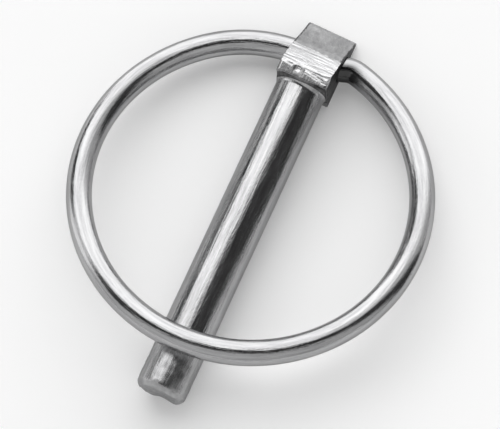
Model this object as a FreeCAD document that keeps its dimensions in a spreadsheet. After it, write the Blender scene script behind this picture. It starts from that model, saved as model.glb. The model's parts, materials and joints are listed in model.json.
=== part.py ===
import FreeCAD, Part
import math
import os
import Sketcher
from FreeCAD import Placement, Rotation, Vector

# Wire lock pin: a round shank with a square head, and a spring wire ring whose two ends
# turn in one cross hole through the head. The ring swings over and closes on the shank.
#
# Each piece is drawn in a frame of its own: X across, -Y towards the tip, +Z to the
# side of the ring. The pin's frame has its origin where the shank's axis leaves the head.
# The ring's frame has its origin on the hinge axis, in the plane of the wire.

# Driving sizes in millimetres, angles in degrees
SIZES = {
    "shank_diameter": 8.0,
    "shank_length": 53.0,
    "tip_chamfer": 0.6,
    "shoulder_round": 0.7,
    "head_width": 8.4,
    "head_step": 0.4,
    "hinge_back": 5.8,
    "hinge_drop": 2.6,
    "wire_diameter": 4.0,
    "running_gap": 0.1,
    "back_wall": 0.5,
    "torn_wall": 0.5,
    "torn_angle": 49.6,
    "cut_wall": 0.67,
    "cut_angle": 41.2,
    "cut_roll": 0.8,
    "head_corner": 0.5,
    "mouth_chamfer": 0.25,
    "dimple_radius": 1.2,
    "dimple_depth": 0.15,
    "dimple_across": 1.1,
    "dimple_back": 1.2,
    "ring_radius": 26.4,
    "ring_setback": 0.95,
    "ring_seat_gap": 0.1,
    "bend_radius": 3.0,
    "bend_gap": 0.3,
    "end_offset": 0.5,
    "end_gap": 0.8,
    "left_blend": 38.0,
    "right_blend": 80.0,
}

doc = FreeCAD.newDocument("wire_lock_pin")


# The sheet of driving sizes

def make_sheet():
    sheet = doc.addObject("Spreadsheet::Sheet", "sizes")
    for row, (name, value) in enumerate(SIZES.items(), start=1):
        sheet.set(f"A{row}", name)
        sheet.set(f"B{row}", str(value))
        sheet.setAlias(f"B{row}", name)
    doc.recompute()
    return sheet


sizes = make_sheet()


def size(name):
    return float(getattr(sizes, name))


# Sizes that follow from the driving ones

shank_radius = size("shank_diameter") / 2
wire_radius = size("wire_diameter") / 2
hole_radius = wire_radius + size("running_gap")
head_half = size("head_width") / 2
head_top = shank_radius + size("head_step")
head_bottom = size("hinge_drop") + hole_radius + size("back_wall")
ring_centre = size("ring_radius") - size("ring_setback")
bend_start = head_half + size("bend_gap")

# The same ones, as expressions for the features
SHANK_RADIUS = "sizes.shank_diameter / 2"
WIRE_RADIUS = "sizes.wire_diameter / 2"
HOLE_RADIUS = "sizes.wire_diameter / 2 + sizes.running_gap"
HEAD_HALF = "sizes.head_width / 2"
HEAD_TOP = "sizes.shank_diameter / 2 + sizes.head_step"
HEAD_BOTTOM = f"sizes.hinge_drop + {HOLE_RADIUS} + sizes.back_wall"
RING_CENTRE = "sizes.ring_radius - sizes.ring_setback"
BEND_START = "sizes.head_width / 2 + sizes.bend_gap"


# Small helpers for bodies and sketches

ORIGIN = -1
START, END, CENTRE = 1, 2, 3


def make_body(label):
    body = doc.addObject("PartDesign::Body", label)
    body.Label = label
    return body


def make_sketch(body, name, plane_role):
    sketch = body.newObject("Sketcher::SketchObject", name)
    plane = [item for item in body.Origin.OriginFeatures if item.Role == plane_role][0]
    sketch.AttachmentSupport = (plane, [""])
    sketch.MapMode = "FlatFace"
    return sketch


def line(sketch, start, end):
    return sketch.addGeometry(Part.LineSegment(Vector(*start, 0), Vector(*end, 0)), False)


def arc(sketch, centre, radius, first, last):
    """An arc that runs anticlockwise between two angles in radians."""
    full = Part.Circle(Vector(*centre, 0), Vector(0, 0, 1), radius)
    return sketch.addGeometry(Part.ArcOfCircle(full, first, last), False)


def circle(sketch, centre, radius, construction=False):
    shape = Part.Circle(Vector(*centre, 0), Vector(0, 0, 1), radius)
    return sketch.addGeometry(shape, construction)


def rule(sketch, kind, *where):
    sketch.addConstraint(Sketcher.Constraint(kind, *where))


def drive(sketch, name, expression, kind, *where):
    """A dimension with a name, held by an expression on the sheet."""
    index = sketch.addConstraint(Sketcher.Constraint(kind, *where))
    sketch.renameConstraint(index, name)
    sketch.setExpression(f"Constraints.{name}", expression)


def join_in_turn(sketch, edges):
    """Close a loop of lines, each starting where the last one ends."""
    for first, second in zip(edges, edges[1:] + edges[:1]):
        rule(sketch, "Coincident", first, END, second, START)


def finish(sketch):
    sketch.solve()
    doc.recompute()
    sketch.Visibility = False


def edges_where(shape, test):
    """The names of the edges whose two end points both pass a test."""
    names = []
    for number, edge in enumerate(shape.Edges, start=1):
        points = [vertex.Point for vertex in edge.Vertexes]
        if points and all(test(point) for point in points):
            names.append(f"Edge{number}")
    return names


def near(a, b):
    return abs(a - b) < 0.001


# Pin: the head, a square bar sheared off at a slant. Seen from the side, the slant is two
# faces: the cut one, which the blade left bright, and the steeper torn one behind it.

def sheared_side(wall, angle):
    """Where a slanted face lies that leaves a wall over the cross hole.

    Gives the point where it is nearest the hinge, and its direction towards the shank.
    """
    slope = math.radians(angle)
    distance = hole_radius + size(wall)
    nearest = (size("hinge_back") + distance * math.sin(slope),
               -size("hinge_drop") + distance * math.cos(slope))
    return nearest, (-math.cos(slope), math.sin(slope))


def point_at_height(side, height):
    (y, z), (dy, dz) = side
    return (y + (height - z) * dy / dz, height)


def crossing(side_a, side_b):
    (ya, za), (dya, dza) = side_a
    (yb, zb), (dyb, dzb) = side_b
    along = ((yb - ya) * dzb - (zb - za) * dyb) / (dya * dzb - dza * dyb)
    return (ya + along * dya, za + along * dza)


torn_side = sheared_side("torn_wall", size("torn_angle"))
cut_side = sheared_side("cut_wall", size("cut_angle"))
head_back_end = point_at_height(torn_side, -head_bottom)
head_break = crossing(torn_side, cut_side)


def rolled_edge():
    """Where the cut face rolls over into the top face: its centre and its two ends."""
    roll = size("cut_roll")
    (y, z), (dy, dz) = cut_side
    inside = (y - roll * dz, z + roll * dy)
    centre = point_at_height((inside, (dy, dz)), head_top - roll)
    foot = (centre[0] + roll * dz, centre[1] - roll * dy)
    return centre, (centre[0], head_top), foot


def draw_head_profile(body):
    sketch = make_sketch(body, "head_profile", "YZ_Plane")
    roll_centre, roll_top, roll_foot = rolled_edge()
    bottom = line(sketch, (0, -head_bottom), head_back_end)
    torn = line(sketch, head_back_end, head_break)
    cut = line(sketch, head_break, roll_foot)
    roll = arc(sketch, roll_centre, size("cut_roll"),
               heading(roll_centre, roll_foot), math.pi / 2)
    top = line(sketch, roll_top, (0, head_top))
    front = line(sketch, (0, head_top), (0, -head_bottom))
    rule(sketch, "Coincident", bottom, END, torn, START)
    rule(sketch, "Coincident", torn, END, cut, START)
    rule(sketch, "Tangent", cut, END, roll, START)
    rule(sketch, "Tangent", roll, END, top, START)
    rule(sketch, "Coincident", top, END, front, START)
    rule(sketch, "Coincident", front, END, bottom, START)
    rule(sketch, "Horizontal", bottom)
    rule(sketch, "Horizontal", top)
    rule(sketch, "Vertical", front)
    rule(sketch, "PointOnObject", front, START, -2)
    drive(sketch, "roll", "sizes.cut_roll", "Radius", roll, size("cut_roll"))
    drive(sketch, "bottom", HEAD_BOTTOM, "DistanceY", bottom, START, ORIGIN, START, head_bottom)
    drive(sketch, "top", HEAD_TOP, "DistanceY", ORIGIN, START, front, START, head_top)
    hinge = (size("hinge_back"), -size("hinge_drop"))
    for name, side in (("torn", torn), ("cut", cut)):
        reach = hole_radius + size(f"{name}_wall")
        keep_out = circle(sketch, hinge, reach, True)
        drive(sketch, f"{name}_back", "sizes.hinge_back", "DistanceX",
              ORIGIN, START, keep_out, CENTRE, hinge[0])
        drive(sketch, f"{name}_drop", "sizes.hinge_drop", "DistanceY",
              keep_out, CENTRE, ORIGIN, START, -hinge[1])
        drive(sketch, f"{name}_reach", f"{HOLE_RADIUS} + sizes.{name}_wall", "Radius",
              keep_out, reach)
        rule(sketch, "Tangent", side, keep_out)
        drive(sketch, f"{name}_slope", f"180 deg - sizes.{name}_angle * 1 deg", "Angle",
              side, math.pi - math.radians(size(f"{name}_angle")))
    finish(sketch)
    return sketch


def make_pin():
    body = make_body("pin")
    bar = body.newObject("PartDesign::Pad", "head_bar")
    bar.Profile = draw_head_profile(body)
    bar.SideType = "Symmetric"
    bar.setExpression("Length", "sizes.head_width")
    doc.recompute()
    shank = add_shank(body)
    rounded = round_head(body, shank)
    drilled = drill_cross_hole(body, rounded)
    add_dimple(body, drilled)
    return body


# Pin: the shank, turned in one piece with the head

def add_shank(body):
    sketch = make_sketch(body, "shank_profile", "YZ_Plane")
    length = size("shank_length")
    chamfer = size("tip_chamfer")
    fillet = size("shoulder_round")
    axis = line(sketch, (-length, 0), (0, 0))
    shoulder = line(sketch, (0, 0), (0, shank_radius + fillet))
    hollow = arc(sketch, (-fillet, shank_radius + fillet), fillet, -math.pi / 2, 0)
    side = line(sketch, (-fillet, shank_radius), (chamfer - length, shank_radius))
    slant = line(sketch, (chamfer - length, shank_radius), (-length, shank_radius - chamfer))
    tip = line(sketch, (-length, shank_radius - chamfer), (-length, 0))
    rule(sketch, "Coincident", axis, END, shoulder, START)
    rule(sketch, "Coincident", axis, END, ORIGIN, START)
    rule(sketch, "Coincident", shoulder, END, hollow, END)
    rule(sketch, "Tangent", hollow, START, side, START)
    rule(sketch, "Coincident", side, END, slant, START)
    rule(sketch, "Coincident", slant, END, tip, START)
    rule(sketch, "Coincident", tip, END, axis, START)
    rule(sketch, "Horizontal", axis)
    rule(sketch, "Vertical", shoulder)
    rule(sketch, "Horizontal", side)
    rule(sketch, "Vertical", tip)
    rule(sketch, "Horizontal", hollow, END, hollow, CENTRE)
    drive(sketch, "length", "sizes.shank_length", "DistanceX", axis, START, axis, END, length)
    drive(sketch, "radius", SHANK_RADIUS, "DistanceY", axis, START, side, END, shank_radius)
    drive(sketch, "hollow", "sizes.shoulder_round", "Radius", hollow, fillet)
    drive(sketch, "chamfer_along", "sizes.tip_chamfer", "DistanceX",
          slant, END, slant, START, chamfer)
    drive(sketch, "chamfer_in", "sizes.tip_chamfer", "DistanceY",
          slant, END, slant, START, chamfer)
    finish(sketch)
    shank = body.newObject("PartDesign::Revolution", "shank")
    shank.Profile = sketch
    shank.ReferenceAxis = (sketch, ["H_Axis"])
    shank.Angle = 360
    doc.recompute()
    return shank


def round_head(body, shank):
    """Round the bar's four long corners, and cut the shoulder back to the same outline."""
    sketch = make_sketch(body, "head_outline", "XZ_Plane")
    corner = size("head_corner")
    margin = 2 * (head_half + head_bottom)
    outer = [(-margin, -margin), (margin, -margin), (margin, margin), (-margin, margin)]
    down, right, up, left = [
        line(sketch, first, second) for first, second in zip(outer, outer[1:] + outer[:1])]
    join_in_turn(sketch, [down, right, up, left])
    for direction, side in (("Horizontal", down), ("Vertical", right),
                            ("Horizontal", up), ("Vertical", left)):
        rule(sketch, direction, side)
    outside = f"2 * ({HEAD_HALF} + {HEAD_BOTTOM})"
    drive(sketch, "outside_right", outside, "DistanceX", ORIGIN, START, right, START, margin)
    drive(sketch, "outside_left", outside, "DistanceX", left, START, ORIGIN, START, margin)
    drive(sketch, "outside_up", outside, "DistanceY", ORIGIN, START, up, START, margin)
    drive(sketch, "outside_down", outside, "DistanceY", down, START, ORIGIN, START, margin)

    # The head's own outline
    x, low, high = head_half, -head_bottom, head_top
    bottom = line(sketch, (corner - x, low), (x - corner, low))
    corner_a = arc(sketch, (x - corner, low + corner), corner, -math.pi / 2, 0)
    side_a = line(sketch, (x, low + corner), (x, high - corner))
    corner_b = arc(sketch, (x - corner, high - corner), corner, 0, math.pi / 2)
    top = line(sketch, (x - corner, high), (corner - x, high))
    corner_c = arc(sketch, (corner - x, high - corner), corner, math.pi / 2, math.pi)
    side_b = line(sketch, (-x, high - corner), (-x, low + corner))
    corner_d = arc(sketch, (corner - x, low + corner), corner, math.pi, 1.5 * math.pi)
    loop = [bottom, corner_a, side_a, corner_b, top, corner_c, side_b, corner_d]
    for first, second in zip(loop, loop[1:] + loop[:1]):
        rule(sketch, "Tangent", first, END, second, START)
    rule(sketch, "Horizontal", bottom)
    rule(sketch, "Vertical", side_a)
    for name, edge in (("a", corner_a), ("b", corner_b), ("c", corner_c), ("d", corner_d)):
        drive(sketch, f"corner_{name}", "sizes.head_corner", "Radius", edge, corner)
    drive(sketch, "half_right", HEAD_HALF, "DistanceX", ORIGIN, START, side_a, START, x)
    drive(sketch, "half_left", HEAD_HALF, "DistanceX", side_b, START, ORIGIN, START, x)
    drive(sketch, "rise", HEAD_TOP, "DistanceY", ORIGIN, START, top, START, high)
    drive(sketch, "drop", HEAD_BOTTOM, "DistanceY", bottom, START, ORIGIN, START, -low)
    finish(sketch)

    # From the end of the round at the shoulder to past the back of the head
    trim = body.newObject("PartDesign::Pocket", "head_rounding")
    trim.Profile = sketch
    trim.SideType = "Two sides"
    trim.setExpression("Length", outside)
    trim.setExpression("Length2", "sizes.shoulder_round")
    doc.recompute()
    check_cut(trim, shank.Shape.Volume)
    return trim


def check_cut(feature, volume_before):
    """A cut that points away from the solid takes nothing off."""
    if feature.Shape.Volume >= volume_before:
        raise RuntimeError(f"{feature.Name} cuts nothing")


# Pin: the cross hole that the two wire ends turn in

def drill_cross_hole(body, base):
    sketch = make_sketch(body, "cross_hole_outline", "YZ_Plane")
    hinge = (size("hinge_back"), -size("hinge_drop"))
    bore = circle(sketch, hinge, hole_radius)
    drive(sketch, "back", "sizes.hinge_back", "DistanceX", ORIGIN, START, bore, CENTRE, hinge[0])
    drive(sketch, "drop", "sizes.hinge_drop", "DistanceY", bore, CENTRE, ORIGIN, START, -hinge[1])
    drive(sketch, "radius", HOLE_RADIUS, "Radius", bore, hole_radius)
    finish(sketch)
    hole = body.newObject("PartDesign::Pocket", "cross_hole")
    hole.Profile = sketch
    hole.SideType = "Symmetric"
    hole.setExpression("Length", "sizes.head_width * 2")
    doc.recompute()
    check_cut(hole, base.Shape.Volume)

    def on_mouth(point):
        reach = math.hypot(point.y - hinge[0], point.z - hinge[1])
        return near(abs(point.x), head_half) and near(reach, hole_radius)

    mouths = body.newObject("PartDesign::Chamfer", "hole_mouths")
    mouths.Base = (hole, edges_where(hole.Shape, on_mouth))
    mouths.setExpression("Size", "sizes.mouth_chamfer")
    doc.recompute()
    check_cut(mouths, hole.Shape.Volume)
    return mouths


def add_dimple(body, base):
    """The small punch mark on the top face, beside the rolled edge."""
    mark = body.newObject("PartDesign::SubtractiveSphere", "punch_mark")
    mark.setExpression("Radius", "sizes.dimple_radius")
    height = head_top + size("dimple_radius") - size("dimple_depth")
    mark.AttachmentOffset = Placement(
        Vector(-size("dimple_across"), size("dimple_back"), height), Rotation())
    mark.setExpression("AttachmentOffset.Base.x", "-sizes.dimple_across")
    mark.setExpression("AttachmentOffset.Base.y", "sizes.dimple_back")
    mark.setExpression("AttachmentOffset.Base.z",
                       f"{HEAD_TOP} + sizes.dimple_radius - sizes.dimple_depth")
    plane = [item for item in body.Origin.OriginFeatures if item.Role == "XY_Plane"][0]
    mark.AttachmentSupport = (plane, [""])
    mark.MapMode = "FlatFace"
    doc.recompute()
    check_cut(mark, base.Shape.Volume)


# Ring: one spring wire, a wide circle with two bent ends

def polar(centre, radius, angle):
    return (centre[0] + radius * math.cos(angle), centre[1] + radius * math.sin(angle))


def heading(origin, target):
    return math.atan2(target[1] - origin[1], target[0] - origin[0])


def end_arc(touch_angle, bend_centre):
    """The arc between the ring's circle and the bend beside the head.

    It leaves the circle at touch_angle without a kink and runs into the bend the same way.
    Gives its centre and radius.
    """
    centre = (0, -ring_centre)
    radius = size("ring_radius")
    bend = size("bend_radius")
    away = (centre[0] - bend_centre[0], centre[1] - bend_centre[1])
    outward = (math.cos(touch_angle), math.sin(touch_angle))
    reach = radius - bend
    dot = outward[0] * away[0] + outward[1] * away[1]
    shift = (reach ** 2 - away[0] ** 2 - away[1] ** 2) / (2 * (dot + reach))
    return (centre[0] + outward[0] * shift, centre[1] + outward[1] * shift), radius - shift


def draw_ring_path(body):
    sketch = make_sketch(body, "wire_path", "XY_Plane")
    centre = (0, -ring_centre)
    radius = size("ring_radius")
    bend = size("bend_radius")
    offset = size("end_offset")

    # Left end: the wire leaves the hole and bends once into the ring
    left_touch = math.radians(90 + size("left_blend"))
    left_bend = (-bend_start, -bend)
    left_centre, left_radius = end_arc(left_touch, left_bend)

    # Right end: it first bends away from the shank, then back into the ring
    right_touch = math.radians(90 - size("right_blend"))
    swing = math.acos(1 - offset / (2 * bend))
    right_out = (bend_start, bend)
    right_back = polar(right_out, 2 * bend, swing - math.pi / 2)
    right_centre, right_radius = end_arc(right_touch, right_back)

    left_stub = line(sketch, (-size("end_gap"), 0), (-bend_start, 0))
    bend_left = arc(sketch, left_bend, bend, math.pi / 2, heading(left_centre, left_bend))
    arc_left = arc(sketch, left_centre, left_radius, heading(left_centre, left_bend), left_touch)
    circle_arc = arc(sketch, centre, radius, left_touch, right_touch + 2 * math.pi)
    arc_right = arc(sketch, right_centre, right_radius,
                    right_touch, heading(right_centre, right_back))
    bend_back = arc(sketch, right_back, bend,
                    heading(right_centre, right_back), heading(right_back, right_out))
    bend_out = arc(sketch, right_out, bend, -math.pi / 2, heading(right_out, right_back))
    right_stub = line(sketch, (bend_start, 0), (size("end_gap"), 0))

    rule(sketch, "Tangent", left_stub, END, bend_left, START)
    rule(sketch, "Tangent", bend_left, END, arc_left, START)
    rule(sketch, "Tangent", arc_left, END, circle_arc, START)
    rule(sketch, "Tangent", circle_arc, END, arc_right, START)
    rule(sketch, "Tangent", arc_right, END, bend_back, START)
    rule(sketch, "Tangent", bend_back, END, bend_out, END)
    rule(sketch, "Tangent", bend_out, START, right_stub, START)
    rule(sketch, "PointOnObject", left_stub, START, -1)
    rule(sketch, "Horizontal", left_stub)
    rule(sketch, "PointOnObject", right_stub, END, -1)
    rule(sketch, "Horizontal", right_stub)
    rule(sketch, "PointOnObject", circle_arc, CENTRE, -2)
    drive(sketch, "centre", RING_CENTRE, "DistanceY",
          circle_arc, CENTRE, ORIGIN, START, ring_centre)
    drive(sketch, "radius", "sizes.ring_radius", "Radius", circle_arc, radius)
    for name, edge in (("left", bend_left), ("out", bend_out), ("back", bend_back)):
        drive(sketch, f"bend_{name}", "sizes.bend_radius", "Radius", edge, bend)
    drive(sketch, "left_inner", "sizes.end_gap", "DistanceX",
          left_stub, START, ORIGIN, START, size("end_gap"))
    drive(sketch, "right_inner", "sizes.end_gap", "DistanceX",
          ORIGIN, START, right_stub, END, size("end_gap"))
    drive(sketch, "left_outer", BEND_START, "DistanceX",
          left_stub, END, ORIGIN, START, bend_start)
    drive(sketch, "right_outer", BEND_START, "DistanceX",
          ORIGIN, START, right_stub, START, bend_start)
    drive(sketch, "left_touch", "sizes.ring_radius * sin(sizes.left_blend * 1 deg)",
          "DistanceX", circle_arc, START, ORIGIN, START,
          radius * math.sin(math.radians(size("left_blend"))))
    drive(sketch, "right_touch", "sizes.ring_radius * sin(sizes.right_blend * 1 deg)",
          "DistanceX", ORIGIN, START, circle_arc, END,
          radius * math.sin(math.radians(size("right_blend"))))
    drive(sketch, "offset", "sizes.bend_radius - sizes.end_offset", "DistanceY",
          bend_back, CENTRE, ORIGIN, START, bend - offset)
    finish(sketch)
    return sketch


def make_ring():
    body = make_body("ring")
    path = draw_ring_path(body)
    section = make_sketch(body, "wire_section", "YZ_Plane")
    section.AttachmentOffset = Placement(Vector(0, 0, -size("end_gap")), Rotation())
    section.setExpression("AttachmentOffset.Base.z", "-sizes.end_gap")
    outline = circle(section, (0, 0), wire_radius)
    rule(section, "Coincident", outline, CENTRE, ORIGIN, START)
    drive(section, "radius", WIRE_RADIUS, "Radius", outline, wire_radius)
    finish(section)
    wire = body.newObject("PartDesign::AdditivePipe", "wire")
    wire.Profile = section
    wire.Spine = (path, [f"Edge{number}" for number in range(1, len(path.Shape.Edges) + 1)])
    doc.recompute()

    # A swept wire holds its section times its length
    expected = math.pi * wire_radius ** 2 * path.Shape.Length
    if abs(wire.Shape.Volume - expected) > 0.005 * expected:
        raise RuntimeError(f"the wire holds {wire.Shape.Volume:.1f}, not {expected:.1f}")
    return body


# Placing both as the pin lies: on the front edge of its head and the edge of its tip

def place(pin, ring):
    seat_run = size("shank_length") - size("tip_chamfer")
    lean = math.atan2(head_bottom - shank_radius, seat_run)
    lift = head_bottom * math.cos(lean)
    turn = Rotation(Vector(1, 0, 0), math.degrees(lean))
    pin.Placement = Placement(Vector(0, 0, lift), turn)

    # The ring is closed when its wire meets the top of the shank
    far_reach = ring_centre + size("ring_radius")
    rise = shank_radius + wire_radius + size("ring_seat_gap") + size("hinge_drop")
    closed = math.degrees(math.asin(rise / far_reach))
    hinge = pin.Placement.multVec(Vector(0, size("hinge_back"), -size("hinge_drop")))
    ring.Placement = Placement(hinge, Rotation(Vector(1, 0, 0), math.degrees(lean) - closed))
    doc.recompute()

    # The origin is on the floor, under the middle of the whole
    box = Part.makeCompound([pin.Shape, ring.Shape]).optimalBoundingBox(False, False)
    middle = Vector(-(box.XMin + box.XMax) / 2, -(box.YMin + box.YMax) / 2, 0)
    for body in (pin, ring):
        body.Placement.Base = body.Placement.Base + middle
    doc.recompute()
    hinge = hinge + middle
    shoulder = pin.Placement.multVec(Vector(0, 0, 0))
    print(f"lean {math.degrees(lean):.3f} deg, ring closed at {closed:.3f} deg to the shank")
    print(f"hinge axis through {hinge.x:.4f} {hinge.y:.4f} {hinge.z:.4f}")
    print(f"shoulder centre {shoulder.x:.4f} {shoulder.y:.4f} {shoulder.z:.4f}")


def check_and_write(bodies):
    for item in doc.Objects:
        if "Invalid" in item.State or "Error" in item.State:
            raise RuntimeError(f"{item.Name} did not rebuild")
    os.makedirs("parts", exist_ok=True)
    for body in bodies:
        if body.Shape.isNull() or not body.Shape.isValid():
            raise RuntimeError(f"{body.Label} has no valid shape")
        body.Shape.exportStep(f"parts/{body.Label}.step")
        print(f"{body.Label}: {body.Shape.Volume:.1f} cubic mm, {len(body.Shape.Faces)} faces, "
              f"{len(body.Shape.Solids)} solid")


pin_body = make_pin()
ring_body = make_ring()
place(pin_body, ring_body)
check_and_write([pin_body, ring_body])
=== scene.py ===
import json
import math

import bpy
import numpy as np
from mathutils import Matrix, Vector, noise


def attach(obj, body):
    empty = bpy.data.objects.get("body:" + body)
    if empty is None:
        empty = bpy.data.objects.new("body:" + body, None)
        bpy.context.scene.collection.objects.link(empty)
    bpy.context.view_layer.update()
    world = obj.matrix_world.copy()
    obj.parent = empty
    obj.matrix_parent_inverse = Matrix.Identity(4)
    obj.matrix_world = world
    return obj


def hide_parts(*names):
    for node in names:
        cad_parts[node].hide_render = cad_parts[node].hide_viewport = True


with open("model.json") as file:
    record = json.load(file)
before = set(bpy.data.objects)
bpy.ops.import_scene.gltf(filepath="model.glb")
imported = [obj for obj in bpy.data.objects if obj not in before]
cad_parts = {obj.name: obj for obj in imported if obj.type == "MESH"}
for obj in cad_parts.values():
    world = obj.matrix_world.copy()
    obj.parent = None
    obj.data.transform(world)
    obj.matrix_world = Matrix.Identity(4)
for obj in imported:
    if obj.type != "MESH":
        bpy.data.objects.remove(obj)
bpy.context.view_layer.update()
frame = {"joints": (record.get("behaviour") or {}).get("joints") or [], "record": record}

# Wire lock pin: the looks of the steel pin and of its spring wire ring.
#
# The meshes are drawn in millimetres in two frames of their own, as the solids are:
# the pin's has X across, -Y towards the tip, +Z to the side of the ring and its origin
# where the shank leaves the head; the ring's has its origin on the hinge, in its plane.

MM = 0.001

# Pin, in millimetres and degrees
SHANK_RADIUS = 4.0
SHANK_LENGTH = 53.0
TIP_CHAMFER = 0.6
SHOULDER_ROUND = 1.1
HEAD_HALF = 4.2
HEAD_TOP = 4.4
HEAD_CORNER = 0.5
HINGE_BACK = 5.8
HINGE_DROP = 2.6
HOLE_RADIUS = 2.1
HOLE_MOUTH = 0.25
BACK_WALL = 0.5
TORN_WALL = 0.5
TORN_ANGLE = 49.6
CUT_WALL = 0.67
CUT_ANGLE = 41.2
CUT_ROLL = 0.8
HEAD_BOTTOM = HINGE_DROP + HOLE_RADIUS + BACK_WALL

# The punch mark on the head's top: a real dimple, with a painted highlight of pale cut steel
# round it
MARK_DEPTH = 0.12
MARK_SPREAD = 0.38
# Radius of the painted highlight round the punch mark
MARK_HIGHLIGHT = 0.45
MARK_CLEAR = 1.1
MARK_ACROSS = -1.1
MARK_BACK = 1.2

# Ring
WIRE_RADIUS = 2.0
RING_RADIUS = 26.4
RING_CENTRE = 25.45
RING_SEAT_GAP = 0.1
BEND_RADIUS = 3.0
BEND_START = 3.4
END_OFFSET = 0.5
END_GAP = 0.8
LEFT_BLEND = 38.0
RIGHT_BLEND = 80.0


# Where the two drawing frames lie

def mount(name):
    return next(m for m in frame["record"]["mounts"] if m["name"] == name)


def pin_frame():
    backward = -Vector(mount("shank")["axis"])
    across = Vector((1, 0, 0))
    turn = Matrix((across, backward, across.cross(backward))).transposed()
    hinge = Vector(frame["joints"][0]["pos_m"])
    origin = hinge - turn @ Vector((0, HINGE_BACK * MM, -HINGE_DROP * MM))
    return Matrix.Translation(origin) @ turn.to_4x4()


def ring_frame():
    rise = SHANK_RADIUS + WIRE_RADIUS + RING_SEAT_GAP + HINGE_DROP
    closed = math.asin(rise / (RING_CENTRE + RING_RADIUS))
    hinge = Matrix.Translation(Vector(frame["joints"][0]["pos_m"]))
    return hinge @ pin_frame().to_3x3().to_4x4() @ Matrix.Rotation(-closed, 4, "X")


# Mesh helpers

def uneven(points, wavelength, seed):
    """Smooth noise from -1 to 1 at each point. The wavelength is one number or one each way."""
    wide = np.broadcast_to(np.array(wavelength, float), 3)
    shift = Vector((seed, -0.7 * seed, 0.3 * seed))
    return np.array([noise.noise(Vector(p / wide) + shift) for p in points])


def layered(points, layers, sunk=0.0):
    """A sum of smooth noises of (depth, wavelength, seed), sunk by a depth of its own."""
    return sum(depth * uneven(points, wavelength, seed)
               for depth, wavelength, seed in layers) - sunk


def fade(value, length):
    """0 up to 0, rising evenly to 1 over a length."""
    return np.clip(value / length, 0, 1)


def skin(loops, closed):
    """Quads between loops of equally many points."""
    count = len(loops[0])
    rows = len(loops) if closed else len(loops) - 1
    quads = []
    for row in range(rows):
        this = row * count
        after = (row + 1) % len(loops) * count
        for place in range(count):
            beside = (place + 1) % count
            quads.append((this + place, this + beside, after + beside, after + place))
    return quads


def mesh_object(name, parts, placement, materials):
    """One object, placed in the part's frame.

    Its parts are tuples of points in mm, faces, material numbers and grain.
    """
    faces, numbers, base = [], [], 0
    for part_points, part_faces, part_numbers, _ in parts:
        faces += [tuple(base + corner for corner in face) for face in part_faces]
        numbers += [int(number) for number in part_numbers]
        base += len(part_points)
    points = np.concatenate([part[0] for part in parts])
    grain = np.concatenate([part[3] for part in parts])
    mesh = bpy.data.meshes.new(name)
    mesh.from_pydata((points * MM).tolist(), [], faces)
    mesh.transform(placement)
    for material in materials:
        mesh.materials.append(material)
    mesh.polygons.foreach_set("material_index", numbers)
    mesh.polygons.foreach_set("use_smooth", [True] * len(faces))
    layer = mesh.attributes.new("grain", "FLOAT_VECTOR", "POINT")
    layer.data.foreach_set("vector", grain.astype(np.float32).ravel())
    mesh.update()
    piece = bpy.data.objects.new(name, mesh)
    bpy.context.scene.collection.objects.link(piece)
    return piece


def unit(vector):
    return vector / np.linalg.norm(vector)


def round_corner(before, corner, after, radius):
    """A corner's round: its centre, the arm to its first point, the turn, and its trim."""
    into, away = unit(corner - before), unit(after - corner)
    turn = math.acos(np.clip(into @ away, -1, 1))
    trim = radius * math.tan(turn / 2)
    centre = corner + unit(away - into) * radius / math.cos(turn / 2)
    return centre, corner - into * trim - centre, turn, trim


def rounded_outline(corners, radii, spacing):
    """Evenly spaced points round a closed, anticlockwise outline, each with its side's number.

    Side k runs from corner k to corner k + 1 and holds the round at corner k + 1.
    """
    corners = [np.array(corner) for corner in corners]
    count = len(corners)
    rounds = [round_corner(corners[k - 1], corners[k], corners[(k + 1) % count], radii[k])
              for k in range(count)]
    points, sides = [], []
    for k, (centre, arm, turn, trim) in enumerate(rounds):
        steps = max(3, math.ceil(radii[k] * turn / spacing))
        for angle in np.arange(steps) / steps * turn:
            cos, sin = math.cos(angle), math.sin(angle)
            points.append(centre + np.array([arm[0] * cos - arm[1] * sin,
                                             arm[0] * sin + arm[1] * cos]))
        after = corners[(k + 1) % count]
        ahead = unit(after - corners[k])
        start, end = corners[k] + ahead * trim, after - ahead * rounds[(k + 1) % count][3]
        runs = max(2, math.ceil(np.linalg.norm(end - start) / spacing))
        points += [start + (end - start) * step / runs for step in range(runs)]
        sides += [(k - 1) % count] * steps + [k] * runs
    return np.array(points), np.array(sides)


# Pin: the head

FRONT_EDGE = 0.10
BREAK_ROUND = 0.15
BACK_EDGE = 0.07
SIDE_EDGE = 0.07
SIDE_BREAK = 0.02
HEAD_SPACING = 0.1
CORNER_ANGLES = (15, 30, 45, 60, 72, 82)
CAP_STEPS = 12
BORE_STEPS = 10

# The head isn't quite true: its top dips and leans, its back edge is skewed and flares out
TOP_DIP = 0.15
TOP_LEAN = 3.0
BACK_REACH = 3.0
BACK_SKEW = 0.2
BURR = 0.4

# Where the tear ends on the slant, where its sides are frayed, where the top is smeared
TEAR_TOP = 1.15
TEAR_RISE = 0.09
TEAR_WANDER = ((0.22, 1.5, 3.1), (0.16, 0.35, 7.7))
FRAYED_WIDTH = 0.22
FRAYED_WANDER = ((0.22, 0.4, 37.0),)
SMEAR_BACK = 1.6
SMEAR_SLANT = 0.14
SMEAR_WANDER = ((0.2, 0.8, 17.0),)
SMEAR_RIDGES = 2

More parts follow.
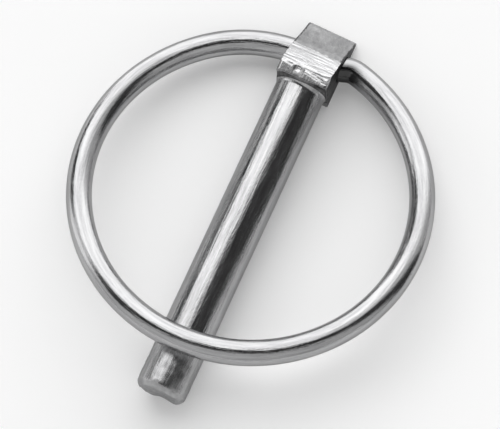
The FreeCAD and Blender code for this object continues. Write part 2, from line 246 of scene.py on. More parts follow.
# Surfaces, as noise in layers of (depth, wavelength, seed)
TORN_GRAIN = ((0.05, (1.2, 2.4, 2.4), 2.0), (0.045, (0.5, 1.1, 1.1), 1.0),
              (0.03, (0.22, 0.5, 0.5), 5.0))
TORN_SUNK = 0.03
CUT_RIDGES = ((0.035, (6.0, 0.42, 0.42), 4.0), (0.02, (1.8, 0.25, 0.25), 9.0))
CUT_SUNK = 0.02
DASH_DEPTH = 0.22
DASH_SIZE = (1.5, 0.3, 0.3)
DASH_SEED = 14.0
DASH_LEVEL = 0.12
ROLL_START = 4.2
ROLL_FADE = 0.8
SERRATED = 0.45
SIDE_LOSS = 0.06
SIDE_NOTCHES = ((0.09, 0.35, 6.0),)
DRAWN_WAVES = ((0.02, (2.5, 3.5, 2.5), 8.0),)
DRAWN_SUNK = 0.012

BOTTOM_SIDE, TORN_FACE, CUT_FACE, TOP_SIDE, FRONT_SIDE = range(5)
# SHADED is a near-black steel that paints shade on the head's side faces, in its hole and in
# the fillet next to the head
DRAWN, CUT_STEEL, TORN_STEEL, SHADED, SHANK_STEEL, TIP_STEEL = range(6)
ACROSS_ONLY = np.array([1, 0, 0])


def sheared_side(wall, angle):
    """A slanted face's point nearest to the hinge, and its direction towards the shank."""
    slope = math.radians(angle)
    distance = HOLE_RADIUS + wall
    nearest = (HINGE_BACK + distance * math.sin(slope),
               -HINGE_DROP + distance * math.cos(slope))
    return nearest, (-math.cos(slope), math.sin(slope))


def point_at_height(side, height):
    (y, z), (dy, dz) = side
    return (y + (height - z) * dy / dz, height)


def crossing(side_a, side_b):
    (ya, za), (dya, dza) = side_a
    (yb, zb), (dyb, dzb) = side_b
    along = ((yb - ya) * dzb - (zb - za) * dyb) / (dya * dzb - dza * dyb)
    return (ya + along * dya, za + along * dza)


TORN_LINE = sheared_side(TORN_WALL, TORN_ANGLE)
CUT_LINE = sheared_side(CUT_WALL, CUT_ANGLE)
BREAK_POINT = crossing(TORN_LINE, CUT_LINE)
TOP_BACK = point_at_height(CUT_LINE, HEAD_TOP)


def head_profile():
    corners = [(0.0, -HEAD_BOTTOM), point_at_height(TORN_LINE, -HEAD_BOTTOM), BREAK_POINT,
               TOP_BACK, (0.0, HEAD_TOP)]
    radii = [FRONT_EDGE, BACK_EDGE, BREAK_ROUND, CUT_ROLL, FRONT_EDGE]
    return rounded_outline(corners, radii, HEAD_SPACING)


def head_section(profile, drop, inset):
    """The head's outline where its rounded long corners have dropped by drop."""
    section = profile.copy()
    section[:, 1] = np.clip(section[:, 1], drop - HEAD_BOTTOM, HEAD_TOP - drop)
    (torn_y, torn_z), (dy, dz) = TORN_LINE
    section[:, 0] = np.minimum(section[:, 0], torn_y + (section[:, 1] - torn_z) * dy / dz)
    if inset:
        inward = np.array([HINGE_BACK, -HINGE_DROP]) - section
        section += inset * inward / np.linalg.norm(inward, axis=1)[:, None]
    return section


def head_loops():
    """Loops over the head's skin, its side face, the hole's mouth and half of the hole."""
    profile, sides = head_profile()
    flat = HEAD_HALF - HEAD_CORNER
    half = [(x, head_section(profile, 0.0, 0.0))
            for x in np.linspace(0, flat, math.ceil(flat / HEAD_SPACING) + 1)]
    for angle in np.radians(CORNER_ANGLES):
        x = flat + HEAD_CORNER * math.sin(angle)
        half.append((x, head_section(profile, HEAD_CORNER * (1 - math.cos(angle)), 0.0)))
    half.append((HEAD_HALF - SIDE_BREAK, head_section(profile, HEAD_CORNER, SIDE_BREAK)))
    half.append((HEAD_HALF, head_section(profile, HEAD_CORNER, SIDE_EDGE)))
    skin_loops = len(half)
    rim = half[-1][1]
    hinge = np.array([HINGE_BACK, -HINGE_DROP])
    outward = (rim - hinge) / np.linalg.norm(rim - hinge, axis=1)[:, None]
    mouth = hinge + outward * (HOLE_RADIUS + HOLE_MOUTH)
    half += [(HEAD_HALF, rim + (mouth - rim) * share)
             for share in np.linspace(0, 1, CAP_STEPS + 1)[1:]]
    bore = hinge + outward * HOLE_RADIUS
    half += [(x, bore) for x in np.linspace(HEAD_HALF - HOLE_MOUTH, 0, BORE_STEPS)]
    whole = half + [(-x, loop) for x, loop in reversed(half[1:-1])]
    loops = [np.column_stack([np.full(len(loop), x), loop]) for x, loop in whole]
    return loops, sides, skin_loops


def up_the_slope(points):
    """How far up the cut face a point lies, from where the two slanted faces meet."""
    return (points[:, 1:] - np.array(BREAK_POINT)) @ np.array(CUT_LINE[1])


def is_torn(points):
    """True where the sheared face is torn, up to a slightly ragged line at the break."""
    wander = layered(points * ACROSS_ONLY, TEAR_WANDER)
    return up_the_slope(points) < TEAR_TOP + TEAR_RISE * points[:, 0] + wander


def is_frayed(points):
    """True on ragged strips along the slant's two side edges, which are coloured near-black
    where the face is torn.
    """
    width = FRAYED_WIDTH + layered(points, FRAYED_WANDER)
    return np.abs(points[:, 0]) > HEAD_HALF - width


def from_mark(points):
    return np.hypot(points[:, 0] - MARK_ACROSS, points[:, 1] - MARK_BACK)


def is_smeared(points):
    """True where the blade dragged the top's metal, more of it towards the right."""
    border = (SMEAR_BACK - SMEAR_SLANT * (points[:, 0] + HEAD_HALF)
              + layered(points * ACROSS_ONLY, SMEAR_WANDER))
    return (points[:, 1] > border) & (from_mark(points) > MARK_CLEAR)


def out_of(angle):
    slope = math.radians(angle)
    return np.array([0, math.sin(slope), math.cos(slope)])


def lean_head(points):
    """Dip and lean the head's top, and skew and flare its back edge."""
    shaped = points.copy()
    x, y, z = points.T
    share = np.clip(z / HEAD_TOP, 0, 1)
    dip = TOP_DIP * np.clip(1 - y / TOP_BACK[0], 0, 1) + x * math.tan(math.radians(TOP_LEAN))
    shaped[:, 2] -= share * dip
    behind = fade(y - HINGE_BACK - HOLE_RADIUS, BACK_REACH)
    shaped[:, 1] += behind * (BURR * behind - BACK_SKEW * x / HEAD_HALF)
    return shaped


def work_head(points, sides, skin_loops, loop_count):
    """Tear grain, shear ridges, ragged edges, the punch mark and the drawn bar's waviness."""
    rows = np.arange(len(points)) // len(sides)
    on_skin = np.minimum(rows, loop_count - rows) < skin_loops
    side = np.tile(sides, loop_count)
    sheared = on_skin & ((side == TORN_FACE) | (side == CUT_FACE))
    torn = is_torn(points) & sheared
    cut = sheared & ~torn
    shaped = points.copy()

    top = on_skin & (side == TOP_SIDE)
    grain = layered(points, TORN_GRAIN, TORN_SUNK)
    shaped[torn] += grain[torn][:, None] * out_of(TORN_ANGLE)
    ridges = layered(points, CUT_RIDGES, CUT_SUNK)
    dashes = DASH_DEPTH * np.clip(uneven(points, DASH_SIZE, DASH_SEED) - DASH_LEVEL, 0, 1)
    near_roll = fade(up_the_slope(points) - ROLL_START, ROLL_FADE)
    shaped[cut] += (ridges - dashes * near_roll)[cut][:, None] * out_of(CUT_ANGLE)
    smeared = top & is_smeared(points)
    shaped[smeared, 2] += (SMEAR_RIDGES * ridges - dashes)[smeared]

    # The blade and the tear both leave the side edges finely serrated
    near_side = fade(np.abs(points[:, 0]) - HEAD_HALF + SERRATED, SERRATED) * sheared
    loss = SIDE_LOSS + layered(points, SIDE_NOTCHES)
    shaped[:, 0] -= loss * near_side * np.sign(points[:, 0])

    plain = on_skin & ~sheared
    wave = layered(points, DRAWN_WAVES, DRAWN_SUNK)
    shaped[plain, 2] += (wave * np.sign(points[:, 2]))[plain]
    shaped[:, 2] -= MARK_DEPTH * np.exp(-(from_mark(points) / MARK_SPREAD) ** 2) * top
    return lean_head(shaped)


def head_part():
    loops, sides, skin_loops = head_loops()
    points = np.concatenate(loops)
    faces = skin(loops, True)
    rows = np.arange(len(faces)) // len(sides)
    inward = np.minimum(rows, len(loops) - 1 - rows)
    side = sides[np.arange(len(faces)) % len(sides)]
    middles = points[np.array(faces)].mean(axis=1)
    sheared = (inward < skin_loops - 1) & ((side == TORN_FACE) | (side == CUT_FACE))
    # The head's side faces and its hole take the near-black steel: painted shade
    numbers = np.where(inward >= skin_loops - 1, SHADED, DRAWN)
    torn = is_torn(middles)
    numbers[sheared] = np.where(torn, TORN_STEEL, CUT_STEEL)[sheared]
    # The ragged strips at the torn slant's side edges take the same near-black steel
    numbers[sheared & torn & is_frayed(middles)] = SHADED
    top = (inward < skin_loops - 1) & (side == TOP_SIDE)
    # Smeared top metal takes the cut steel; so does a patch round the punch mark, as a painted
    # highlight
    numbers[top & (is_smeared(middles) | (from_mark(middles) < MARK_HIGHLIGHT))] = CUT_STEEL
    return work_head(points, sides, skin_loops, len(loops)), faces, numbers, points


# Pin: the shank

SHANK_POINTS = 120
SHANK_SPACING = 0.35
INSIDE_HEAD = 0.6
INNER_SHARES = (0.5, 0.97)
FILLET_START = -0.03
FILLET_STEPS = 12
# How far from the head the fillet carries painted shade, in millimetres
FILLET_SHADE = 0.4
UNDER_SKIN = 0.02
SHANK_WAVES = ((0.014, (2.2, 9.0, 2.2), 12.0), (0.006, (1.1, 4.0, 1.1), 15.0))
SHANK_SUNK = 0.008
WAVES_FADE = 1.0
MOTTLED_FROM = 45.0
MOTTLED_FADE = 2.0
MOTTLES = ((0.045, 1.1, 18.0),)

# The bruised tip: its two eased edges as (distance along, change of radius), the band of
# dull steel round its end, and its marks
TIP_ROUND = 0.12
CHAMFER_EASING = ((0.0, 0.03), (0.08, 0.08), (0.3, 0.3))
FACE_EASING = ((0.1, 0.1), (0.03, 0.0))
FACE_RINGS = 22
FACE_SHARES = (0.97, 0.03)
TIP_BAND = 0.9
BAND_WANDER = ((0.5, 1.2, 41.0),)
TIP_REACH = 1.2
TIP_FADE = 0.9
LOW_FROM = 1.0
LOW_FADE = 3.0
NOTCH_DEPTH = 0.35
NOTCH_ACROSS = 0.2
LOBE_HEIGHT = 0.15
LOBE_ACROSS = 2.6
NOTCH_SPREAD = 0.9
DENT_DEPTH = 0.15
DENT_ACROSS = -0.6
DENT_UP = 3.2
DENT_AREA = 0.8
BRUISES = ((0.16, 1.5, 21.0), (0.06, 0.5, 24.0))
TIP_GROWTH = 0.35
RIM_WEAR = 0.06
RIM_NOTCHES = ((0.07, 1.1, 27.0),)
RIM_SHARE = 0.7


def head_reach(angle):
    """How far the head's outline lies from the shank's axis, in one direction."""
    across, upright = math.sin(angle), math.cos(angle)
    height = HEAD_TOP - TOP_DIP if upright > 0 else HEAD_BOTTOM
    return min(HEAD_HALF / max(abs(across), 1e-6), height / max(abs(upright), 1e-6))


def shank_stations():
    """(distance from the shoulder, radius) along the shank, from inside the head to its end."""
    wide = SHANK_RADIUS + SHOULDER_ROUND
    stations = [(-INSIDE_HEAD, share * SHANK_RADIUS) for share in INNER_SHARES]
    stations.append((FILLET_START, wide))
    for angle in np.radians(np.linspace(0, 90, FILLET_STEPS + 1)):
        stations.append((SHOULDER_ROUND * (1 - math.cos(angle)),
                         wide - SHOULDER_ROUND * math.sin(angle)))
    slant_start = SHANK_LENGTH - TIP_CHAMFER
    end = slant_start - TIP_ROUND
    runs = math.ceil((end - SHOULDER_ROUND) / SHANK_SPACING)
    stations += [(u, SHANK_RADIUS) for u in np.linspace(SHOULDER_ROUND, end, runs + 1)[1:]]
    stations += [(slant_start + along, SHANK_RADIUS - drop) for along, drop in CHAMFER_EASING]
    last = SHANK_RADIUS - TIP_CHAMFER
    stations += [(SHANK_LENGTH - along, last + rise) for along, rise in FACE_EASING]
    shares = np.linspace(*FACE_SHARES, FACE_RINGS)
    stations += [(SHANK_LENGTH, last * share) for share in shares]
    return stations


def work_shank(points):
    """Low waves along the shank, and the bruised tip."""
    shaped = points.copy()
    x, z = points[:, 0], points[:, 2]
    depth = -points[:, 1]
    reach = np.hypot(x, z)
    spokes = points * np.array([1, 0, 1]) / reach[:, None]
    waves = layered(points, SHANK_WAVES, SHANK_SUNK)
    clear = fade(depth - SHOULDER_ROUND, WAVES_FADE) * fade(SHANK_LENGTH - depth, WAVES_FADE)
    mottled = layered(points, MOTTLES) * fade(depth - MOTTLED_FROM, MOTTLED_FADE)
    shaped += spokes * ((waves + mottled) * clear)[:, None]

    # The tip's face is bruised, with a notch and a lobe in its lower rim
    near_end = fade(depth - SHANK_LENGTH + TIP_REACH, TIP_FADE)
    low = fade(LOW_FROM - z, LOW_FADE)
    notch = NOTCH_DEPTH * np.exp(-((x - NOTCH_ACROSS) / NOTCH_SPREAD) ** 2) * low
    lobe = LOBE_HEIGHT * np.exp(-((x - LOBE_ACROSS) / NOTCH_SPREAD) ** 2) * low
    dent = DENT_DEPTH * np.exp(-((x - DENT_ACROSS) ** 2 + (z - DENT_UP) ** 2) / DENT_AREA)
    bruise = layered(points, BRUISES, TIP_GROWTH)
    shaped[:, 1] += (notch - lobe + dent + bruise) * near_end
    at_rim = reach > RIM_SHARE * SHANK_RADIUS
    worn = (RIM_WEAR + layered(points, RIM_NOTCHES)) * near_end * at_rim
    shaped -= spokes * worn[:, None]
    return shaped


def shank_part():
    angles = np.linspace(0, 2 * math.pi, SHANK_POINTS, endpoint=False)
    spokes = np.column_stack([np.sin(angles), np.zeros(SHANK_POINTS), np.cos(angles)])
    limit = np.array([head_reach(angle) for angle in angles]) - UNDER_SKIN
    stations = shank_stations()
    loops = []
    for depth, radius in stations:
        reach = np.full(SHANK_POINTS, radius)
        if depth < SHOULDER_ROUND:
            reach = np.minimum(reach, limit)
        loops.append(spokes * reach[:, None] - np.array([0, depth, 0]))
    points = np.concatenate(loops)
    faces = skin(loops, False)
    rows = np.arange(len(faces)) // SHANK_POINTS
    depths = np.array([depth for depth, _ in stations])[rows]
    middles = points[np.array(faces)].mean(axis=1)
    border = SHANK_LENGTH - TIP_BAND + layered(middles, BAND_WANDER)
    numbers = np.where(depths > border, TIP_STEEL, SHANK_STEEL)
    # The fillet's part next to the head takes the near-black steel: painted shade in the crease
    numbers[depths < FILLET_SHADE] = SHADED
    faces.append(tuple(range(SHANK_POINTS))[::-1])
    faces.append(tuple(range(len(points) - SHANK_POINTS, len(points))))
    numbers = np.append(numbers, [SHANK_STEEL, TIP_STEEL])
    return work_shank(points), faces, numbers, points


# Ring

WIRE_SPACING = 0.35
WIRE_POINTS = 56
WIRE_WAVES = ((0.010, (1.6, 8.0, 1.6), 31.0), (0.005, (0.8, 3.5, 0.8), 33.0))
WIRE_SUNK = 0.006


def polar(centre, radius, angle):
    return (centre[0] + radius * math.cos(angle), centre[1] + radius * math.sin(angle))


def heading(origin, target):
    return math.atan2(target[1] - origin[1], target[0] - origin[0])


def end_arc(touch_angle, bend_centre):
    """Centre and radius of the arc that runs on from the ring's circle into a bend."""
    centre = (0, -RING_CENTRE)
    away = (centre[0] - bend_centre[0], centre[1] - bend_centre[1])
    outward = (math.cos(touch_angle), math.sin(touch_angle))
    reach = RING_RADIUS - BEND_RADIUS
    dot = outward[0] * away[0] + outward[1] * away[1]
    shift = (reach ** 2 - away[0] ** 2 - away[1] ** 2) / (2 * (dot + reach))
    return (centre[0] + outward[0] * shift, centre[1] + outward[1] * shift), RING_RADIUS - shift


def arc_points(centre, radius, first, last):
    steps = max(4, math.ceil(abs(last - first) * radius / WIRE_SPACING))
    return [polar(centre, radius, first + (last - first) * step / steps)
            for step in range(steps)]


def line_points(start, end):
    steps = max(2, math.ceil(math.dist(start, end) / WIRE_SPACING))
    start, end = np.array(start, float), np.array(end, float)
    return [tuple(start + (end - start) * step / steps) for step in range(steps)]


def wire_path():
    """The wire's centre line in the ring's plane, from its left end round to its right end."""
    left_touch = math.radians(90 + LEFT_BLEND)
    left_bend = (-BEND_START, -BEND_RADIUS)
    left_centre, left_radius = end_arc(left_touch, left_bend)
    right_touch = math.radians(90 - RIGHT_BLEND)
    swing = math.acos(1 - END_OFFSET / (2 * BEND_RADIUS))
    right_out = (BEND_START, BEND_RADIUS)
    right_back = polar(right_out, 2 * BEND_RADIUS, swing - math.pi / 2)
    right_centre, right_radius = end_arc(right_touch, right_back)
    into_left, into_right = heading(left_centre, left_bend), heading(right_centre, right_back)
    points = line_points((-END_GAP, 0), (-BEND_START, 0))
    points += arc_points(left_bend, BEND_RADIUS, math.pi / 2, into_left)
    points += arc_points(left_centre, left_radius, into_left, left_touch)
    points += arc_points((0, -RING_CENTRE), RING_RADIUS, left_touch, right_touch + 2 * math.pi)
    points += arc_points(right_centre, right_radius, right_touch, into_right)
    points += arc_points(right_back, BEND_RADIUS, into_right, heading(right_back, right_out))
    points += arc_points(right_out, BEND_RADIUS, heading(right_out, right_back), -math.pi / 2)
    points += line_points((BEND_START, 0), (END_GAP, 0))
    return np.array(points + [(END_GAP, 0)])


WIRE_LENGTH = float(np.linalg.norm(np.diff(wire_path(), axis=0), axis=1).sum())


def wire_part():
    path = wire_path()
    ahead = np.gradient(path, axis=0)
    ahead /= np.linalg.norm(ahead, axis=1)[:, None]
    travelled = np.append(0, np.cumsum(np.linalg.norm(np.diff(path, axis=0), axis=1)))
    angles = np.linspace(0, 2 * math.pi, WIRE_POINTS, endpoint=False)
    cos, sin = np.cos(angles) * WIRE_RADIUS, np.sin(angles) * WIRE_RADIUS
    loops, grain = [], []
    for place, (along_x, along_y), length in zip(path, ahead, travelled):
        loops.append(np.column_stack([place[0] + cos * along_y, place[1] - cos * along_x, sin]))
        grain.append(np.column_stack([cos, np.full(WIRE_POINTS, length), sin]))
    points, grain = np.concatenate(loops), np.concatenate(grain)
    centres = np.repeat(np.column_stack([path, np.zeros(len(path))]), WIRE_POINTS, axis=0)
    waves = layered(grain, WIRE_WAVES, WIRE_SUNK)
    points += (points - centres) / WIRE_RADIUS * waves[:, None]
    faces = skin(loops, False)
    faces.append(tuple(range(WIRE_POINTS))[::-1])
    faces.append(tuple(range(len(points) - WIRE_POINTS, len(points))))
    return points, faces, np.zeros(len(faces), int), grain


# Materials

class Tree:
    """A node tree, with short calls to add and join nodes."""

    def __init__(self, tree):
        self.tree = tree

    def add(self, kind, **settings):
        node = self.tree.nodes.new(kind)
        for key, value in settings.items():
            setattr(node, key, value)
        return node

    def put(self, value, socket):
        if isinstance(value, bpy.types.NodeSocket):
            self.tree.links.new(value, socket)
        else:
            socket.default_value = value

    def math(self, operation, *values):
        node = self.add("ShaderNodeMath", operation=operation)
        for value, socket in zip(values, node.inputs):
            self.put(value, socket)
        return node.outputs[0]

    def spread(self, value, low, high, to_low=0.0, to_high=1.0, kind="LINEAR"):
        node = self.add("ShaderNodeMapRange", interpolation_type=kind)
        for number, socket in zip((value, low, high, to_low, to_high), node.inputs):
            self.put(number, socket)
        return node.outputs["Result"]

    def mix(self, share, low, high):
        node = self.add("ShaderNodeMix", data_type="FLOAT")
        for value, socket in zip((share, low, high),
                                 (node.inputs[0], node.inputs[2], node.inputs[3])):
            self.put(value, socket)
        return node.outputs[0]


EDGE_TINT = 0.55
NOISE_LOW = 0.35
NOISE_HIGH = 0.65
DARK_BLUE = 1.015
PALE_BLUE = 1.01
# Near-black tone of the painted shade on the wire's inner side where it runs into the head
SHADE_TONE = 0.04


class Steel(Tree):
    """A plated steel whose marks follow the grain that each mesh carries, in millimetres."""

    def __init__(self, name):
        self.material = bpy.data.materials.new(name)
        self.material.use_nodes = True
        super().__init__(self.material.node_tree)
        self.shader = self.tree.nodes["Principled BSDF"]
        self.shader.inputs["Metallic"].default_value = 1.0
        self.shader.inputs["Specular Tint"].default_value = (EDGE_TINT, EDGE_TINT, EDGE_TINT, 1)
        self.grain = self.add("ShaderNodeAttribute", attribute_name="grain").outputs["Vector"]

    def noise(self, wavelength, detail, roughness=0.5):
        mapping = self.add("ShaderNodeMapping")
        mapping.inputs["Scale"].default_value = [1 / way for way in wavelength]
        self.put(self.grain, mapping.inputs["Vector"])
        node = self.add("ShaderNodeTexNoise")
        node.inputs["Scale"].default_value = 1.0
        node.inputs["Detail"].default_value = detail
        node.inputs["Roughness"].default_value = roughness
        self.put(mapping.outputs["Vector"], node.inputs["Vector"])
        return node.outputs["Fac"]

    def tone(self, wavelength, dark, pale):
        ramp = self.add("ShaderNodeValToRGB")
        low, high = ramp.color_ramp.elements
        low.position, high.position = NOISE_LOW, NOISE_HIGH
        low.color = (dark, dark, dark * DARK_BLUE, 1)
        high.color = (pale, pale, pale * PALE_BLUE, 1)
        self.put(self.noise(wavelength, 6.0, 0.65), ramp.inputs["Fac"])
        self.put(ramp.outputs["Color"], self.shader.inputs["Base Color"])
        return ramp.outputs["Color"]

    def paint_shade(self, colour, start, end, share):
        """Painted shade: darken the wire's inner side where it runs into the head, along its
        length from start to end in millimetres.
        """
        place = self.add("ShaderNodeSeparateXYZ")
        self.put(self.grain, place.inputs[0])
        uneven_along = self.math("ADD", place.outputs["Y"], self.noise((0.8, 1.5, 0.8), 4.0))
        inner = self.spread(place.outputs["X"], 0.5, -0.5, 0.0, share)
        amount = self.spread(uneven_along, start, end, 0.0, inner, "SMOOTHSTEP")
        blend = self.add("ShaderNodeMix", data_type="RGBA", blend_type="MIX")
        self.put(amount, blend.inputs[0])
        self.put(colour, blend.inputs[6])
        blend.inputs[7].default_value = (SHADE_TONE, SHADE_TONE, SHADE_TONE, 1)
        self.put(blend.outputs[2], self.shader.inputs["Base Color"])

    def gloss(self, wavelength, smoothest, roughest):
        blotches = self.noise(wavelength, 6.0, 0.7)
        rough = self.spread(blotches, NOISE_LOW, NOISE_HIGH, smoothest, roughest)
        self.put(rough, self.shader.inputs["Roughness"])
        return rough

    def wear(self, rough, start, end, more):
        """Roughen the shank towards its tip, from start to end in millimetres."""
        place = self.add("ShaderNodeSeparateXYZ")
        self.put(self.grain, place.inputs[0])
        extra = self.spread(place.outputs["Y"], -start, -end, 0.0, more, "SMOOTHSTEP")
        self.put(self.math("ADD", rough, extra), self.shader.inputs["Roughness"])

    def relief(self, *layers):
        """Bumps of (wavelength each way, depth), both in millimetres."""
        normal = None
        for wavelength, depth in layers:
            bump = self.add("ShaderNodeBump")
            bump.inputs["Distance"].default_value = depth * MM
            self.put(self.noise(wavelength, 4.0, 0.6), bump.inputs["Height"])
            if normal is not None:
                self.put(normal, bump.inputs["Normal"])
            normal = bump.outputs["Normal"]
        self.put(normal, self.shader.inputs["Normal"])


def drawn_steel():
    steel = Steel("drawn_steel")
    steel.tone((1.2, 6.0, 1.2), dark=0.26, pale=0.42)
    steel.gloss((0.8, 3.0, 0.8), smoothest=0.16, roughest=0.32)
    steel.relief(((0.5, 5.0, 0.5), 0.06), ((0.2, 0.5, 0.2), 0.015))
    return steel.material


def cut_steel():
    steel = Steel("cut_steel")
    steel.tone((3.0, 0.3, 0.3), dark=0.42, pale=0.74)
    steel.gloss((2.0, 0.3, 0.3), smoothest=0.12, roughest=0.38)
    steel.relief(((4.0, 0.35, 0.35), 0.10), ((0.25, 1.6, 1.6), 0.02))
    return steel.material


def torn_steel():
    steel = Steel("torn_steel")
    steel.tone((1.2, 2.6, 2.6), dark=0.28, pale=0.40)
    steel.gloss((0.5, 1.1, 1.1), smoothest=0.45, roughest=0.62)
    steel.relief(((0.4, 0.9, 0.9), 0.10), ((0.16, 0.36, 0.36), 0.04))
    return steel.material


# Near-black steel: painted shade on the head's side faces, in its hole and in the fillet next
# to the head; it also colours the ragged strips at the slant's side edges
def shaded_steel():
    steel = Steel("shaded_steel")
    steel.tone((0.8, 1.6, 0.8), dark=0.06, pale=0.15)
    steel.gloss((0.5, 1.0, 0.5), smoothest=0.30, roughest=0.50)
    steel.relief(((0.4, 3.0, 0.4), 0.05), ((0.2, 0.3, 0.2), 0.015))
    return steel.material


def shank_steel():
    steel = Steel("shank_steel")
    steel.tone((0.7, 9.0, 0.7), dark=0.31, pale=0.45)
    rough = steel.gloss((0.6, 5.0, 0.6), smoothest=0.08, roughest=0.22)
    steel.wear(rough, start=MOTTLED_FROM - 3.0, end=MOTTLED_FROM + 1.0, more=0.11)
    steel.relief(((0.9, 14.0, 0.9), 0.07), ((0.3, 5.0, 0.3), 0.03),
                 ((0.25, 0.6, 0.25), 0.018))
    return steel.material


def tip_steel():
    steel = Steel("tip_steel")
    steel.tone((0.9, 0.9, 0.9), dark=0.32, pale=0.44)
    steel.gloss((0.6, 0.6, 0.6), smoothest=0.34, roughest=0.50)
    steel.relief(((0.6, 0.6, 0.6), 0.12), ((0.2, 0.2, 0.2), 0.03))
    return steel.material


def spring_wire():
    steel = Steel("spring_wire")
    colour = steel.tone((0.8, 10.0, 0.8), dark=0.33, pale=0.46)
    # Painted shade on the wire's inner side over its last millimetres, where it runs into the
    # head
    steel.paint_shade(colour, start=WIRE_LENGTH - 9.0, end=WIRE_LENGTH - 4.0, share=0.95)
    steel.gloss((0.6, 6.0, 0.6), smoothest=0.06, roughest=0.18)
    steel.relief(((0.8, 16.0, 0.8), 0.05), ((0.3, 6.0, 0.3), 0.03),
                 ((0.25, 0.6, 0.25), 0.012))
    return steel.material


# The two pieces

def make_pin():
    steels = [drawn_steel(), cut_steel(), torn_steel(), shaded_steel(), shank_steel(),
              tip_steel()]
    piece = mesh_object("steel_pin", [head_part(), shank_part()], pin_frame(), steels)
    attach(piece, "pin_body")
    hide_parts("pin")


def make_ring():
    piece = mesh_object("wire_ring", [wire_part()], ring_frame(), [spring_wire()])
    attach(piece, "ring_body")
    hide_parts("ring")


# The studio: a white floor under a sky of soft light
#
# The sky is laid out on a round map: straight up is its middle, and a direction lies as
# many degrees from the middle as it leans from upright, towards the side it leans to.

ROOM = 0.98
RIGHT_ROOM = 0.74
RIGHT_START = 10.0
RIGHT_END = 80.0
MAIN_LIGHT = 2.75
SIDE_LIGHT = 2.3
DARK_GAP = 0.08
GAP_OFFSET = -5.0
GAP_SLOPE = 0.44
GAP_HALF = 14.5
GAP_EDGE = 0.24
GAP_LEFT_END = -42.0
GAP_LEFT_FADE = 6.0
LOW_DARK = 0.06
FLOOR_WHITE = 0.93
FLOOR_GLOW = 0.08
FLOOR_HALF = 3.0


def length_of(tree, x, y):
    squares = tree.math("ADD", tree.math("MULTIPLY", x, x), tree.math("MULTIPLY", y, y))
    return tree.math("SQRT", squares)


def sky_map(sky):
    direction = sky.add("ShaderNodeSeparateXYZ")
    sky.put(sky.add("ShaderNodeTexCoord").outputs["Generated"], direction.inputs[0])
    x, y, z = direction.outputs
    lean = sky.math("MULTIPLY", sky.math("ARCCOSINE", z), 180 / math.pi)
    scale = sky.math("DIVIDE", lean, sky.math("MAXIMUM", length_of(sky, x, y), 0.0001))
    return sky.math("MULTIPLY", x, scale), sky.math("MULTIPLY", y, scale)


def oval(sky, place, centre, half, turn, edge):
    """1 in an oval on the map, falling to 0 across its edge, a share of its size each way."""
    cos, sin = math.cos(math.radians(turn)), math.sin(math.radians(turn))
    dx = sky.math("SUBTRACT", place[0], centre[0])
    dy = sky.math("SUBTRACT", place[1], centre[1])
    u = sky.math("ADD", sky.math("MULTIPLY", dx, cos / half[0]),
                 sky.math("MULTIPLY", dy, sin / half[0]))
    v = sky.math("ADD", sky.math("MULTIPLY", dx, -sin / half[1]),
                 sky.math("MULTIPLY", dy, cos / half[1]))
    return sky.spread(length_of(sky, u, v), 1 - edge, 1 + edge, 1.0, 0.0, "SMOOTHSTEP")


def make_world():
    world = bpy.data.worlds.new("studio")
    bpy.context.scene.world = world
    world.use_nodes = True
    world.node_tree.nodes.clear()
    sky = Tree(world.node_tree)
    place = sky_map(sky)
    right = sky.spread(place[0], RIGHT_START, RIGHT_END, 0.0, 1.0, "SMOOTHSTEP")
    light = sky.mix(right, ROOM, RIGHT_ROOM)
    main = oval(sky, place, centre=(-32, 61), half=(74, 39), turn=12, edge=0.25)
    light = sky.mix(main, light, MAIN_LIGHT)
    strip = oval(sky, place, centre=(-26, 14), half=(37, 11), turn=0, edge=0.3)
    light = sky.mix(strip, light, MAIN_LIGHT)
    side = oval(sky, place, centre=(-67, -16), half=(19, 16), turn=0, edge=0.4)
    light = sky.mix(side, light, SIDE_LIGHT)
    low_left = oval(sky, place, centre=(-67, 20), half=(12, 26), turn=0, edge=0.25)
    low_right = oval(sky, place, centre=(84, 28), half=(12, 15), turn=0, edge=0.4)
    light = sky.mix(sky.math("MAXIMUM", low_left, low_right), light, LOW_DARK)
    line = sky.math("ADD", sky.math("MULTIPLY", place[0], GAP_SLOPE), GAP_OFFSET)
    off_line = sky.math("ABSOLUTE", sky.math("SUBTRACT", place[1], line))
    width = GAP_HALF * math.hypot(1, GAP_SLOPE)
    in_gap = sky.spread(off_line, (1 - GAP_EDGE) * width, (1 + GAP_EDGE) * width, 1.0, 0.0,
                        "SMOOTHSTEP")
    inside = sky.spread(place[0], GAP_LEFT_END - GAP_LEFT_FADE, GAP_LEFT_END + GAP_LEFT_FADE,
                        0.0, 1.0, "SMOOTHSTEP")
    light = sky.mix(sky.math("MULTIPLY", in_gap, inside), light, DARK_GAP)
    background = sky.add("ShaderNodeBackground")
    sky.put(light, background.inputs["Strength"])
    output = sky.add("ShaderNodeOutputWorld")
    sky.put(background.outputs[0], output.inputs["Surface"])


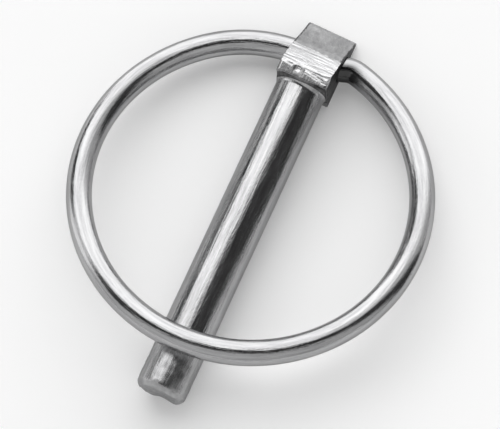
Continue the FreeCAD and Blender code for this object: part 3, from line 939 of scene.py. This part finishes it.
def make_floor():
    """A white floor that keeps its shadows; its own glow is for the eye and for reflections."""
    mesh = bpy.data.meshes.new("floor")
    near, far = -FLOOR_HALF, FLOOR_HALF
    corners = [(near, near, 0), (far, near, 0), (far, far, 0), (near, far, 0)]
    mesh.from_pydata(corners, [], [(0, 1, 2, 3)])
    floor = bpy.data.objects.new("floor", mesh)
    bpy.context.scene.collection.objects.link(floor)
    material = bpy.data.materials.new("floor_white")
    material.use_nodes = True
    white = Tree(material.node_tree)
    shader = white.tree.nodes["Principled BSDF"]
    shader.inputs["Base Color"].default_value = (FLOOR_WHITE, FLOOR_WHITE, FLOOR_WHITE, 1)
    shader.inputs["Roughness"].default_value = 1.0
    shader.inputs["Specular IOR Level"].default_value = 0.0
    path = white.add("ShaderNodeLightPath").outputs
    seen = white.math("ADD", path["Is Camera Ray"], path["Is Glossy Ray"])
    seen = white.math("MINIMUM", white.math("ADD", seen, path["Is Transmission Ray"]), 1.0)
    shader.inputs["Emission Color"].default_value = (1, 1, 1, 1)
    white.put(white.math("MULTIPLY", seen, FLOOR_GLOW), shader.inputs["Emission Strength"])
    mesh.materials.append(material)


# The camera stands as the photograph's did. Its axes are in the part's frame, sizes in mm.
CAMERA_BACK = Vector((0.1561, -0.2499, 0.9556))
CAMERA_UP = Vector((-0.3831, 0.8765, 0.2918))
CAMERA_AIM = Vector((0.0, -1.30, 7.69))
SHIFT_RIGHT = 1.07
SHIFT_UP = -1.2
CAMERA_DISTANCE = 450.0
FRAME_WIDTH = 500
PIXELS_PER_MM = 6.53
SENSOR = 36.0


def make_camera():
    data = bpy.data.cameras.new("camera")
    camera = bpy.data.objects.new("camera", data)
    bpy.context.scene.collection.objects.link(camera)
    back = CAMERA_BACK.normalized()
    across = CAMERA_UP.cross(back).normalized()
    upright = back.cross(across)
    aim = CAMERA_AIM + across * SHIFT_RIGHT + upright * SHIFT_UP
    turn = Matrix((across, upright, back)).transposed()
    stand = (aim + back * CAMERA_DISTANCE) * MM
    camera.matrix_world = Matrix.Translation(stand) @ turn.to_4x4()
    data.sensor_width = SENSOR
    data.lens = SENSOR * PIXELS_PER_MM * CAMERA_DISTANCE / FRAME_WIDTH
    data.clip_start = 0.01
    data.clip_end = 10
    bpy.context.scene.camera = camera


make_pin()
make_ring()
make_floor()
make_world()
make_camera()
bpy.context.scene.view_settings.view_transform = "Standard"
